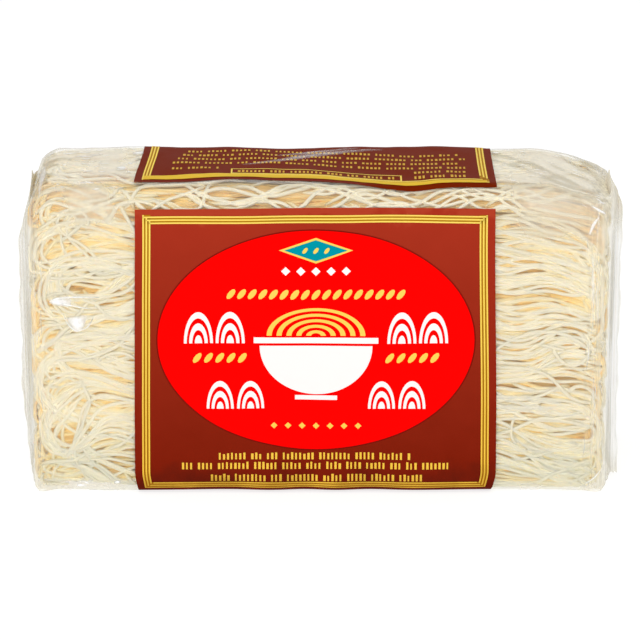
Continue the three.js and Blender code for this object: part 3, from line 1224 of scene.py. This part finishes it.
def front_panel(inks):
    inks["panel"].field(front_left, front_right, front_foot, front_top)
    edges = (
        inset_by(front_left, BAND_INSET),
        inset_by(front_right, BAND_INSET),
        inset_by(front_foot, FOOT_INSET, FOOT_STRETCH),
        inset_by(front_top, BAND_INSET),
    )
    triple_frame(inks["gold"], inks["olive"], edges)
    inks["rim"].oval(OVAL_X, front(OVAL_HEIGHT), OVAL_HALF_X, OVAL_HALF_Z, inner=0.96)
    inks["oval"].oval(OVAL_X, front(OVAL_HEIGHT), OVAL_HALF_X - 0.5, OVAL_HALF_Z - 0.5)


def bowl_of_noodles(inks):
    """A plain picture of a bowl heaped with noodles, in the middle of the oval."""
    white, gold = inks["white"], inks["marks"]
    middle, rim = OVAL_X, front(OVAL_HEIGHT) - 1
    white.bar(middle - BOWL_HALF - 2.5, middle + BOWL_HALF + 2.5, rim, rim + 2.6)
    white.oval(middle, rim - 1.1, BOWL_HALF, BOWL_DEPTH, start=180, stop=360)
    white.bar(middle - 9, middle + 9, rim - BOWL_DEPTH - 3.6, rim - BOWL_DEPTH - 1.6)
    for i in range(5):
        rise = 12.5 - 2.5 * i
        gold.oval(middle, rim + 3.4, 21 - 4.2 * i, rise, start=0, stop=180, inner=1 - 1.3 / rise)


def ripple(ink, x, along, half_x, half_along):
    """Three nested arches over one foot."""
    for share, inner in ((1.0, 0.80), (0.64, 0.66), (0.26, 0.02)):
        ink.oval(x, along, half_x * share, half_along * share, start=0, stop=180, inner=inner)


def grain_row(ink, middle, along, count, pitch):
    """A row of slanting grains of rice."""
    for i in range(count):
        ink.oval(middle + (i - (count - 1) / 2) * pitch, along, 2.7, 1.25, slant=52)


def mark_row(ink, rng, left, right, low, high, bend=None):
    """A row of small upright marks in groups, which stands in for small print."""
    x = left
    while x < right:
        for _ in range(int(rng.integers(3, 9))):
            if x + 0.9 > right:
                break
            ink.bar(x, x + rng.uniform(0.7, 1.1), low, lerp(low, high, rng.uniform(0.72, 1.0)), bend)
            x += 1.75
        x += 1.6


def diamond_row(ink, middle, along, count, pitch, half):
    for i in range(count):
        ink.diamond(middle + (i - (count - 1) / 2) * pitch, along, half, half)


def emblem(inks):
    """A plain teal lozenge with a gold edge, at the top of the oval."""
    along = front(109.6)
    inks["marks"].diamond(OVAL_X, along, 15.5, 5.6)
    inks["teal"].diamond(OVAL_X, along, 13.2, 4.6)
    for i in (-1, 0, 1):
        inks["lozenge"].oval(OVAL_X + 4.6 * i, along, 1.6, 0.8, slant=52)


def front_marks(inks):
    """The oval's ornaments, in white and gold, and three rows of marks under it in place of small print."""
    rng = np.random.default_rng(3)
    gold, white = inks["marks"], inks["white"]
    emblem(inks)
    bowl_of_noodles(inks)
    diamond_row(white, OVAL_X, front(100.4), 5, 6.4, 1.9)
    grain_row(gold, OVAL_X, front(90.0), 17, 4.5)
    diamond_row(gold, OVAL_X, front(30.6), 7, 6.0, 1.4)
    for side in (-1, 1):
        grain_row(gold, OVAL_X + side * 41.0, front(61.4), 5, 4.8)
        for i in range(2):
            ripple(white, OVAL_X + side * (36.5 + 13.5 * i), front(68.0), 6.2, 14.0)
            ripple(white, OVAL_X + side * (28.0 + 13.0 * i), front(38.5), 5.8, 12.5)
    for left, right, low in ((-43.5, 38.7, 15.1), (-59.4, 55.5, 10.8), (-47.0, 44.5, 5.4)):
        mark_row(inks["gold"], rng, left, right, front(low), front(low + 3.3))


# The second panel starts on the top of the pack and runs over it and down the back.
BACK_MIDDLE = -1.2
BACK_HALF = 75.6
BACK_END = ROUND - front(9)

# The widths of the solid gold band inside the first lines, at its left and its right end.
FIRST_BAND = (5.4, 3.0)

LABEL_LEFT = -38.0
LABEL_RIGHT = 34.0


def back_left(along, inset=0.0):
    drawn_in = 1.6 * smooth_step(TOP_START + 4, TOP_START + 50, along)
    return BACK_MIDDLE - BACK_HALF + inset - 1.6 + drawn_in + 0.3 * np.sin(along / 17)


def back_right(along, inset=0.0):
    return BACK_MIDDLE + BACK_HALF - inset + 0.35 * np.sin(along / 21 + 1)


def back_start(x, inset=0.0):
    """The wavy edge on the top of the pack. It dips towards the front right of the middle."""
    slope = lerp(179.4, 172.8, smooth_step(-8, 34, x))
    return slope + 2.0 * np.exp(-((x + 28) / 16) ** 2) - 1.6 * np.exp(-((x - 39) / 9) ** 2) + inset


def back_end(x, inset=0.0):
    return np.full_like(x, BACK_END - inset)


def back_panel(inks):
    inks["back"].field(back_left, back_right, back_start, back_end)
    edges = (
        inset_by(back_left, BAND_INSET),
        inset_by(back_right, BAND_INSET),
        inset_by(back_start, BAND_INSET + 0.6, 1.6),
        inset_by(back_end, BAND_INSET),
    )
    triple_frame(inks["gold"], inks["olive"], edges)
    inset = BAND_INSET + 0.6
    x = row(back_left(TOP_START, inset), back_right(TOP_START, inset), 160)
    band = np.interp(x, (back_left(TOP_START), back_right(TOP_START)), FIRST_BAND)
    inks["band"].sheet(x, back_start(x, inset) + band * column(0, 1, 10))


def back_marks(inks):
    """Rows of marks in place of small print, and a framed label over the first gold lines."""
    rng = np.random.default_rng(8)
    gold = inks["dull"]

    def bend(x):
        return back_start(x) - back_start(0.0)

    first = back_start(0.0) + BAND_INSET + 1.6 * BAND_LINES[-1] + 3.0
    label = (first - 1.2, first + 6.2)
    for low in (label[0], label[1] - 0.7):
        inks["gold"].bar(LABEL_LEFT, LABEL_RIGHT, low, low + 0.7, bend)
    for x in (LABEL_LEFT, LABEL_RIGHT):
        inks["gold"].bar(x, x + 0.7, *label, bend)
    mark_row(gold, rng, LABEL_LEFT + 3, LABEL_RIGHT - 2, label[0] + 2, label[1] - 1.9, bend)
    mark_row(gold, rng, BACK_MIDDLE - 62, LABEL_LEFT - 4, first + 6, first + 9, bend)
    mark_row(gold, rng, LABEL_RIGHT + 6, BACK_MIDDLE + 64, first + 1, first + 5, bend)
    mark_row(gold, rng, LABEL_RIGHT + 6, BACK_MIDDLE + 64, first + 8, first + 11, bend)
    for i in range(4):
        low = first + 14 + 6.2 * i
        mark_row(gold, rng, BACK_MIDDLE - 62 + 2 * i, BACK_MIDDLE + 64 - 3 * (i % 2), low, low + 3.0, bend)
    for i in range(13):
        low = ROUND - FRONT_HIGH + 6 + 7.2 * i
        mark_row(gold, rng, BACK_MIDDLE - 58, BACK_MIDDLE + 58 - 9 * (i % 3), low, low + 2.6)


# Every printed piece: its name, its level and its shades from the foot of the pack, at 0, to its top, at 1.
INKS = {
    "panel": (
        "print_panel",
        "panel",
        # The first stop is painted shade where the panel turns under the pack.
        (0.09, (0.11, 0.0095, 0.0038)),
        (0.18, (0.205, 0.0125, 0.0032)),
        (0.98, (0.385, 0.0315, 0.013)),
        (1.0, (0.43, 0.048, 0.020)),
    ),
    "back": ("print_back_panel", "panel", (0.08, (0.21, 0.0125, 0.0032)), (0.97, (0.185, 0.016, 0.0010))),
    "olive": ("print_band", "shade", (0.08, (0.33, 0.12, 0.006)), (0.97, (0.45, 0.20, 0.008))),
    "rim": ("print_oval_rim", "shade", (0.08, (0.16, 0.006, 0.003)), (0.97, (0.22, 0.008, 0.004))),
    "gold": (
        "print_gold",
        "ink",
        # The first stop is painted shade where the gold turns under the pack.
        (0.09, (0.56, 0.33, 0.035)),
        (0.16, (0.90, 0.56, 0.06)),
        (0.97, (0.98, 0.72, 0.13)),
    ),
    "band": ("print_first_band", "mark", (0.08, (0.80, 0.50, 0.03)), (0.97, (0.84, 0.55, 0.045))),
    "dull": ("print_back_marks", "ink", (0.08, (0.66, 0.38, 0.04)), (0.97, (0.74, 0.44, 0.055))),
    "oval": ("print_oval", "ink", (0.08, (0.95, 0.0010, 0.0006)), (0.97, (0.97, 0.0010, 0.0006))),
    "marks": ("print_oval_gold", "mark", (0.08, (0.93, 0.62, 0.09)), (0.97, (0.96, 0.68, 0.12))),
    "white": ("print_white", "mark", (0.08, (0.93, 0.91, 0.88)), (0.97, (0.96, 0.95, 0.93))),
    "teal": ("print_teal", "over", (0.08, (0.0, 0.26, 0.33)), (0.97, (0.0, 0.30, 0.38))),
    "lozenge": ("print_lozenge_gold", "last", (0.08, (0.93, 0.62, 0.09)), (0.97, (0.96, 0.68, 0.12))),
}


def print_panels():
    inks = {kind: Ink(name, level) for kind, (name, level, *_) in INKS.items()}
    front_panel(inks)
    front_marks(inks)
    back_panel(inks)
    back_marks(inks)
    for kind, (name, _, *shades) in INKS.items():
        inks[kind].build(ink_material(name + "_ink", *shades))


# ------------------------------------------------------------------ stage

CAMERA_AZIMUTH = 0.0
CAMERA_ELEVATION = 19.0
CAMERA_DISTANCE = 1.5
CAMERA_LENS = 193.7
SENSOR_WIDTH = 36
CAMERA_TARGET = Vector((0, 0, 0.0659))

# Softboxes, in metres and watts: name, place, size and power. All face one place.
LIGHTS = (
    ("overhead", (0.0, -0.25, 1.5), (1.6, 1.2), 6.5),
    ("front", (-0.3, -1.9, 0.95), (1.6, 1.1), 12.2),
    ("behind", (0.0, 2.0, 0.82), (1.8, 0.5), 4),
    ("left_strip", (-1.3, -0.7, 0.7), (0.25, 1.1), 3.2),
    ("right_strip", (1.3, -0.5, 0.8), (0.25, 1.1), 2.8),
)
LIGHT_TARGET = Vector((0, 0, 0.07))
SKY_LIGHT = 0.4

FLOOR_REACH = 4000.0
FLOOR_DROP = 0.3
FLOOR_POINTS = 9


def camera():
    data = bpy.data.cameras.new("camera")
    data.lens = CAMERA_LENS
    data.sensor_width = SENSOR_WIDTH
    data.clip_start = 0.05
    turn, lift = math.radians(CAMERA_AZIMUTH), math.radians(CAMERA_ELEVATION)
    away = Vector((math.sin(turn) * math.cos(lift), -math.cos(turn) * math.cos(lift), math.sin(lift)))
    holder = linked(bpy.data.objects.new("camera", data))
    holder.location = CAMERA_TARGET + away * CAMERA_DISTANCE
    holder.rotation_euler = (-away).to_track_quat("-Z", "Y").to_euler()
    bpy.context.scene.camera = holder


def softbox(name, place, size, power):
    data = bpy.data.lights.new(name, "AREA")
    data.shape = "RECTANGLE"
    data.size, data.size_y = size
    data.energy = power
    lamp = linked(bpy.data.objects.new(name, data))
    lamp.location = place
    lamp.rotation_euler = (LIGHT_TARGET - Vector(place)).to_track_quat("-Z", "Y").to_euler()


def studio():
    world = bpy.data.worlds.new("studio")
    world.use_nodes = True
    background = world.node_tree.nodes["Background"]
    background.inputs["Color"].default_value = (1, 1, 1, 1)
    background.inputs["Strength"].default_value = SKY_LIGHT
    bpy.context.scene.world = world
    for light in LIGHTS:
        softbox(*light)
    bpy.context.scene.view_settings.view_transform = "Standard"
    bpy.context.scene.cycles.transparent_max_bounces = 24
    bpy.context.scene.cycles.max_bounces = 16
    bpy.context.scene.cycles.diffuse_bounces = 12


def floor():
    steps = np.linspace(-FLOOR_REACH, FLOOR_REACH, FLOOR_POINTS)
    x, y = np.meshgrid(steps, steps)
    points = np.stack([x, y, np.full_like(x, -FLOOR_DROP)], -1)
    ground = new_object("floor", points, grid_faces(FLOOR_POINTS, FLOOR_POINTS), floor_material())


# ------------------------------------------------------------------ the scene

camera()
studio()
floor()
noodle = noodle_material()
core(core_material())
skin_noodles(noodle)
loose_noodles(noodle)
end_loops(-1, "noodles_left_end", noodle)
end_loops(1, "noodles_right_end", noodle)
film(film_material())
crease_glints(glint_material())
print_panels()
